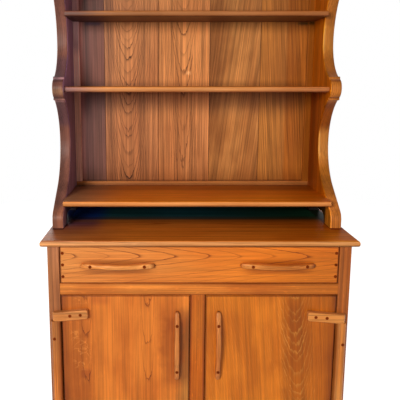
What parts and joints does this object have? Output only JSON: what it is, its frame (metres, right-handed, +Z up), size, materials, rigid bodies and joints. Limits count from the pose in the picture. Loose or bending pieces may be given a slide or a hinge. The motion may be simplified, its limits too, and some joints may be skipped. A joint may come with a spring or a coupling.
{
  "type": "welsh dresser",
  "caption": "Wooden dresser: a base with a full-width drawer and cupboard doors on wooden strap hinges, carrying an open plate rack with scalloped sides and shelves.",
  "frame": {"origin": "on the floor under the middle of the dresser's box", "axes": "+Z up, +X to the right seen from the front, +Y towards the wall behind"},
  "size_m": [1, 0.493, 1.83],
  "materials": {
    "frame_wood": "waxed elm, warm orange brown",
    "door_wood": "waxed elm board with cathedral grain",
    "drawer_wood": "waxed elm board, bright orange brown",
    "counter_wood": "waxed elm, worn satin",
    "rack_wood": "waxed elm",
    "back_wood": "waxed elm boards with open grain",
    "handle_wood": "carved elm, paler from handling",
    "peg_wood": "dark end-grain pegs",
    "inside_wood": "unpolished inside boards"
  },
  "bodies": {
    "carcass": {"back_bead": "rack_wood", "back_board_1": "back_wood", "back_board_2": "back_wood", "back_board_3": "back_wood", "back_board_4": "back_wood", "back_board_5": "back_wood", "base_back_panel": "inside_wood", "batten_pegs": "peg_wood", "bottom_rail": "frame_wood", "centre_stile": "frame_wood", "corner_beads": "rack_wood", "counter_top": "counter_wood", "cupboard_floor": "inside_wood", "cupboard_shelf": "inside_wood", "door_stop": "inside_wood", "drawer_guides": "inside_wood", "drawer_rail": "frame_wood", "drawer_runners": "inside_wood", "drawer_stops": "inside_wood", "front_post_left": "frame_wood", "front_post_right": "frame_wood", "hinge_batten_left": "handle_wood", "hinge_batten_right": "handle_wood", "hinge_pins": "peg_wood", "locating_dowels": "peg_wood", "rack_bottom_shelf": "rack_wood", "rack_middle_shelf": "rack_wood", "rack_side_left": "rack_wood", "rack_side_right": "rack_wood", "rack_top_board": "rack_wood", "rack_top_shelf": "rack_wood", "rear_bottom_rail": "inside_wood", "rear_post_left": "frame_wood", "rear_post_right": "frame_wood", "rear_top_rail": "inside_wood", "shelf_bearers": "inside_wood", "side_bottom_rail_left": "frame_wood", "side_bottom_rail_right": "frame_wood", "side_panel_left": "frame_wood", "side_panel_right": "frame_wood", "side_top_rail_left": "frame_wood", "side_top_rail_right": "frame_wood"},
    "drawer": {"drawer_front": "drawer_wood", "drawer_side_left": "inside_wood", "drawer_side_right": "inside_wood", "drawer_back": "inside_wood", "drawer_bottom": "inside_wood", "drawer_corner_pegs": "peg_wood", "drawer_pull_left": "handle_wood", "drawer_pull_right": "handle_wood", "drawer_pull_pegs": "peg_wood"},
    "door_left": {"door_panel_left": "door_wood", "hinge_straps_left": "handle_wood", "door_pull_left": "handle_wood", "door_pegs_left": "peg_wood"},
    "door_right": {"door_panel_right": "door_wood", "hinge_straps_right": "handle_wood", "door_pull_right": "handle_wood", "door_pegs_right": "peg_wood"}
  },
  "joints": [
    {"name": "drawer_slide", "type": "slide", "parent": "carcass", "child": "drawer", "axis": [0, -1, 0], "range_m": [0, 0.3]},
    {"name": "door_left_hinge", "type": "hinge", "parent": "carcass", "child": "door_left", "pos_m": [-0.459, -0.226, 0.3845], "axis": [0, 0, -1], "range_deg": [0, 165]},
    {"name": "door_right_hinge", "type": "hinge", "parent": "carcass", "child": "door_right", "pos_m": [0.459, -0.226, 0.3845], "axis": [0, 0, 1], "range_deg": [0, 165]}
  ]
}
